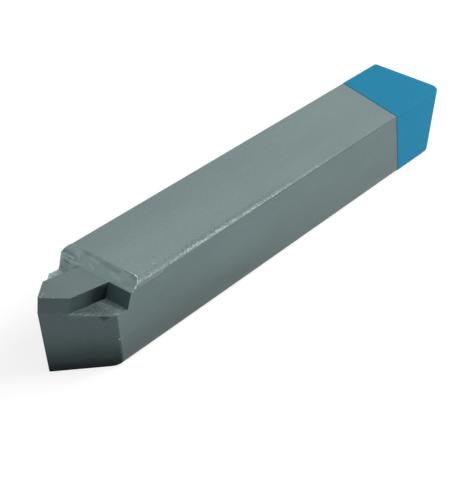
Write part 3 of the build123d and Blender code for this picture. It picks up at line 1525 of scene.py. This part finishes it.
    def finishes(self) -> dict[Zone, Finish]:
        """Chooses the finish of each zone.

        Returns:
            The finishes by zone.
        """
        steel = SteelFinish()
        return {
            Zone.BODY: steel,
            # The flank's dark foot colour is painted shade.
            Zone.FLANK: FlankFinish(
                name="ground_flank",
                top=(0.177, 0.243, 0.253),
                foot=(0.010, 0.017, 0.018),
                foot_z=-2.3,
                top_z=10.4,
                specular=0.05,
                marks=FLANK_SHADE_AND_MARKS,
            ),
            Zone.RAMP: FaceFinish(
                name="ramp_steel",
                colour=(0.178, 0.25, 0.25),
                tone_size=1.4,
                contrast=0.05,
                grain=0.5,
                relief=0.00002,
                marks=(*SHOULDER_MARKS, *LIP_PAINTED_LIGHT, *EDGE_WEAR_AND_HIGHLIGHTS),
            ),
            # The wall's dark colour is painted shade in the seat's corner.
            Zone.WALL: FaceFinish(
                name="wall_steel",
                colour=(0.0975, 0.153, 0.159),
                tone_size=0.8,
                contrast=0.10,
                grain=0.3,
                relief=0.00003,
                specular=0.15,
                marks=WALL_MARKS,
            ),
            # The floor's lift is painted light on its rear end, in the shade by the wall and the
            # tip.
            Zone.FLOOR: FaceFinish(
                name="floor_steel",
                colour=(0.070, 0.093, 0.093),
                tone_size=0.38,
                contrast=0.22,
                grain=0.36,
                relief=0.0002,
                lift=4.0,
                flecks=1.1,
                marks=FLOOR_MARKS_AND_PAINTED_LIGHT,
            ),
            # The residue's lift is painted light on its rear end, in the shade by the wall.
            Zone.STRIP: FaceFinish(
                name="braze_residue",
                colour=(0.33, 0.415, 0.405),
                tone_size=0.4,
                contrast=0.14,
                grain=0.35,
                relief=0.0001,
                lift=2.1,
                lift_to=49.6,
                flecks=0.25,
            ),
            # Its light colour is painted light, against the shade that its place under the lip
            # gives.
            Zone.LEFT_WALL: FaceFinish(
                name="left_wall",
                colour=(0.44, 0.57, 0.56),
                tone_size=0.5,
                contrast=0.12,
                grain=0.4,
                relief=0.00012,
                marks=(*LEFT_WALL_MARKS, *LIP_PAINTED_LIGHT),
            ),
            # The dressed facet: the steel with painted shade, darker since it faces the lamp more.
            Zone.FACET: replace(
                steel, name="dressed_facet", bright=(0.250, 0.317, 0.313), above=0.70, below=0.48
            ),
        }

    def zone(self, face: bpy.types.MeshPolygon, flanks: tuple[Vector, Vector]) -> Zone:
        """Tells to which zone a face belongs, by its place and normal.

        Args:
            face: the face.
            flanks: the normals of the two ground flanks.

        Returns:
            The zone.
        """
        seat, place, normal = self.seat, face.center, face.normal
        if place.y > 0.0 and min(normal.y, normal.z) > 0.25 and place.x < seat.wall_x:
            return Zone.FACET
        if place.x < seat.wall_x - seat.shoulder_length:
            return Zone.BODY
        height, far = seat.height_off_floor(place), place.y < -seat.tip_width / 2
        nose = abs(place.y) < 0.25 * MM and height < -0.05 * MM and normal.x > 0.7
        if nose or any(normal.dot(flank) > 0.97 for flank in flanks):
            return Zone.FLANK
        if height > -0.5 * MM and normal.z > 0.55:
            if place.x < seat.wall_x + 0.05 * MM and place.z > 14.5 * MM:
                return Zone.RAMP
            return Zone.STRIP if far else Zone.FLOOR
        if height > -0.05 * MM and normal.x > 0.35 and place.x < seat.wall_foot.x + 0.1 * MM:
            return Zone.LEFT_WALL if far else Zone.WALL
        return Zone.BODY

    def build(self) -> Piece:
        """Builds the shank.

        Returns:
            The finished piece.
        """
        bar = self.block_out()
        self.dress_edge(bar)
        self.mill_seat(bar)
        self.grind_point(bar)
        self.score_front(bar)
        FrontWear(self.seat).shape(bar)
        finishes, flanks = self.finishes(), self.seat.flanks(self.seat.body_lean)
        dress(bar, [finishes[zone] for zone in Zone], lambda face: self.zone(face, flanks))
        smooth_faces(bar, self.smooth_angle)
        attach(bar, "root")
        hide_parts("shank")
        return bar


class TipZone(IntEnum):
    """Places on the tip with a finish of their own, in the order of its material slots."""

    TOP = 0
    GROUND = 1
    RAW = 2


@dataclass
class CarbideTip:
    """The carbide plate, ground to the point."""

    seat: Seat
    point_radius: float = 0.22 * MM
    edge_radius: float = 0.04 * MM
    overrun: float = 2.0 * MM
    score_step: float = 0.3 * MM
    smooth_angle: float = 28.0
    glint_spots: tuple[tuple[float, float], ...] = (
        (59.13, -0.38),
        (60.43, 0.11),
        (58.84, 1.5),
        (59.71, -0.19),
    )

    def block_out(self) -> Piece:
        """Blocks out the plate on its seat, past its point.

        Returns:
            The plate.
        """
        seat = self.seat
        braze, long = seat.braze_thickness, seat.length / seat.along.x + self.overrun
        thick = seat.tip_thickness
        middle = seat.wall_foot + seat.along * (braze + long / 2) + seat.off * (braze + thick / 2)
        size = Vector((long, seat.tip_width, thick))
        return add_block("carbide_plate", middle - size / 2, middle + size / 2, seat.rake)

    def ease_edges(self, plate: Piece) -> None:
        """Eases the edges of the top face.

        Args:
            plate: the plate.
        """
        seat, rear = self.seat, self.seat.wall_x + MM
        top = seat.height_off_floor(seat.wall_top) - NEAR

        def on_top(ends: list[Vector]) -> bool:
            """Whether an edge bounds the top face, its rear edge apart."""
            high = all(seat.height_off_floor(e) > top for e in ends)
            return high and max(e.x for e in ends) > rear

        round_edges(plate, on_top, self.edge_radius, 2)

    def finishes(self) -> list[Finish]:
        """Chooses the finish of each zone.

        Returns:
            The finishes in the order of the zones.
        """
        # A thin light line along the tip's +Y top edge: painted highlight.
        edge = Mark((61.0, 0.1, 17.45), (56.7, 3.3, 16.76), 0.06, PALE, 0.5, 0.02, 0.5)
        nick = Mark((56.44, 3.36, 15.2), (56.42, 3.38, 15.3), 0.11, PALE, 0.6, 0.02, 0.3)
        # Small pale spots on the top: painted glints.
        bright = tuple(
            Mark((x, y, 17.2), (x + 0.1, y, 17.2), 0.17, PALE, 0.60, 0.04, 0.3, Sight.DOWN)
            for x, y in self.glint_spots
        )
        front, left, dim = (61.0, 0.0, 17.4), (57.5, -3.0, 16.9), (0.075, 0.117, 0.113)
        flank = (0.118, 0.172, 0.178)
        # foot, soft and dark lay out the dark marks at the rear of the raw sides: painted shadow
        # that the shoulder and the wall cast on the tip.
        foot, soft, dark = (46.0, 3.2, 12.1), (0.04, 0.062, 0.065), (0.016, 0.026, 0.028)
        top = FaceFinish(
            name="carbide_top",
            colour=(0.0940, 0.1460, 0.1410),
            tone_size=2.0,
            contrast=0.03,
            grain=0.3,
            detail=2.0,
            relief=0.000004,
            roughness=0.42,
            metallic=0.15,
            marks=(Mark(front, left, 7.0, dim, 1.0, 0.2, 1.0), edge, *bright),
        )
        ground = FlankFinish(
            name="ground_carbide",
            top=flank,
            foot=flank,
            marks=(edge, nick),
        )
        raw = FaceFinish(
            name="raw_carbide",
            colour=(0.069, 0.106, 0.11),
            tone_size=0.8,
            contrast=0.08,
            grain=0.3,
            relief=0.00002,
            specular=0.12,
            marks=(
                Mark(foot, (50.3, 3.2, 13.7), 4.2, soft, 1.6, 0.25, 1.0, Sight.ACROSS),
                Mark(foot, (49.3, 3.2, 13.7), 2.5, dark, 2.0, 0.2, 0.8, Sight.ACROSS),
            ),
        )
        return [top, ground, raw]

    def zone(self, face: bpy.types.MeshPolygon, flanks: tuple[Vector, Vector]) -> TipZone:
        """Tells to which zone a face belongs, by its place and normal.

        Args:
            face: the face.
            flanks: the normals of the two ground flanks.

        Returns:
            The zone.
        """
        if any(face.normal.dot(flank) > 0.9 for flank in flanks):
            return TipZone.GROUND
        if face.normal.dot(self.seat.off) >= 0.5:
            return TipZone.TOP
        return TipZone.GROUND if abs(face.center.y) < 0.25 * MM else TipZone.RAW

    def build(self) -> Piece:
        """Builds the tip.

        Returns:
            The finished piece.
        """
        seat, step = self.seat, self.score_step
        plate = self.block_out()
        grind(plate, seat, seat.point_top, seat.tip_lean, self.point_radius)
        self.ease_edges(plate)
        score(plate, Vector(), ACROSS, [step * n for n in range(-11, 12)])
        score(plate, seat.wall_foot, seat.along, [step * n for n in range(1, 49)])
        flanks = seat.flanks(seat.tip_lean)
        dress(plate, self.finishes(), lambda face: self.zone(face, flanks))
        smooth_faces(plate, self.smooth_angle)
        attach(plate, "root")
        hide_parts("carbide_tip")
        return plate


class FrameParts:
    """CAD nodes whose shapes are right and that only get their finishes."""

    def build(self) -> None:
        """Dresses the braze and the enamel."""
        dress(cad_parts["braze_layer"], [BrazeFinish()])
        dress(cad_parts["end_paint"], [EnamelFinish()])


@dataclass
class Studio:
    """The pale floor, the soft lamp, the even sky and the camera."""

    floor_size: float = 6.0
    floor_colour: float = 0.3
    background_lift: float = 0.8
    sky_strength: float = 0.35
    key_direction: Colour = (-0.62, 0.353, 0.70)
    key_distance: float = 1.2
    key_size: float = 0.8
    key_power: float = 12.6
    lens: float = 113.75
    sensor_width: float = 36.0
    nearest: float = 0.01
    camera_place: Colour = (0.213581, 0.12754, 0.15861)
    camera_looks: Colour = (-0.722773, -0.436294, -0.535954)
    camera_up: Colour = (-0.382756, -0.392997, 0.836093)

    def build_floor(self) -> Piece:
        """Lays the floor. It stays a pale grey for the light that it throws back on the tool, and
        the camera and reflections see it lifted to white outside the tool's shadow.

        Returns:
            The floor.
        """
        bpy.ops.object.select_all(action="DESELECT")
        bpy.ops.mesh.primitive_plane_add(size=self.floor_size, location=(0.0, 0.0, 0.0))
        floor = bpy.context.active_object
        floor.name = "studio_floor"
        made, bench, shader = new_material("studio_floor")
        bench.fill(
            shader,
            Base_Color=(*[self.floor_colour] * 3, 1.0),
            Roughness=1.0,
            Specular_IOR_Level=0.0,
            Emission_Color=(1.0, 1.0, 1.0, 1.0),
            Emission_Strength=bench.times(self.seen_directly(bench), self.background_lift),
        )
        floor.data.materials.append(made)
        return floor

    def seen_directly(self, bench: NodeBench) -> Socket:
        """Tells the camera and reflections from the light that falls on the tool.

        Args:
            bench: the bench in the material or the sky.

        Returns:
            1 where the camera, a reflection or glass looks, 0 for the light.
        """
        path = bench.add("ShaderNodeLightPath")
        seen = bench.maths("MAXIMUM", path.outputs["Is Camera Ray"], path.outputs["Is Glossy Ray"])
        return bench.maths("MAXIMUM", seen, path.outputs["Is Transmission Ray"])

    def build_sky(self) -> None:
        """Sets the even sky: dim for the light it gives, white where it is seen."""
        world = bpy.data.worlds.new("studio_sky")
        bpy.context.scene.world = world
        world.use_nodes = True
        bench = NodeBench(world.node_tree)
        level = bench.maths("MAXIMUM", self.seen_directly(bench), self.sky_strength)
        sky = world.node_tree.nodes["Background"]
        bench.fill(sky, Color=(1.0, 1.0, 1.0, 1.0), Strength=level)

    def hang_lamp(self) -> None:
        """Hangs the square soft lamp, facing the tool."""
        data = bpy.data.lights.new("key_lamp", "AREA")
        data.shape = "SQUARE"
        data.size = self.key_size
        data.energy = self.key_power
        lamp = bpy.data.objects.new("key_lamp", data)
        bpy.context.scene.collection.objects.link(lamp)
        away = Vector(self.key_direction).normalized()
        lamp.location = away * self.key_distance
        lamp.rotation_euler = away.to_track_quat("Z", "Y").to_euler()

    def build_camera(self) -> None:
        """Sets the camera where the photograph was taken from."""
        data = bpy.data.cameras.new("photo_camera")
        data.lens = self.lens
        data.sensor_width = self.sensor_width
        data.clip_start = self.nearest
        camera = bpy.data.objects.new("photo_camera", data)
        bpy.context.scene.collection.objects.link(camera)
        looks = Vector(self.camera_looks).normalized()
        right = looks.cross(Vector(self.camera_up)).normalized()
        up = right.cross(looks)
        turn = Matrix((right, up, -looks)).transposed()
        camera.matrix_world = Matrix.Translation(self.camera_place) @ turn.to_4x4()
        bpy.context.scene.camera = camera

    def build(self) -> None:
        """Sets up the whole studio."""
        bpy.context.scene.view_settings.view_transform = "Standard"
        self.build_floor()
        self.build_sky()
        self.hang_lamp()
        self.build_camera()


def main() -> None:
    """Builds the scene piece by piece."""
    logging.basicConfig(level=logging.INFO, format="%(message)s")
    Studio().build()
    EffectShelf().build()
    seat = Seat()
    for maker in (Shank(seat), CarbideTip(seat)):
        piece = maker.build()
        log.info("%s: %d faces", piece.name, len(piece.data.polygons))
    FrameParts().build()
    log.info("dressed the braze and the enamel")


if __name__ == "__main__":
    main()
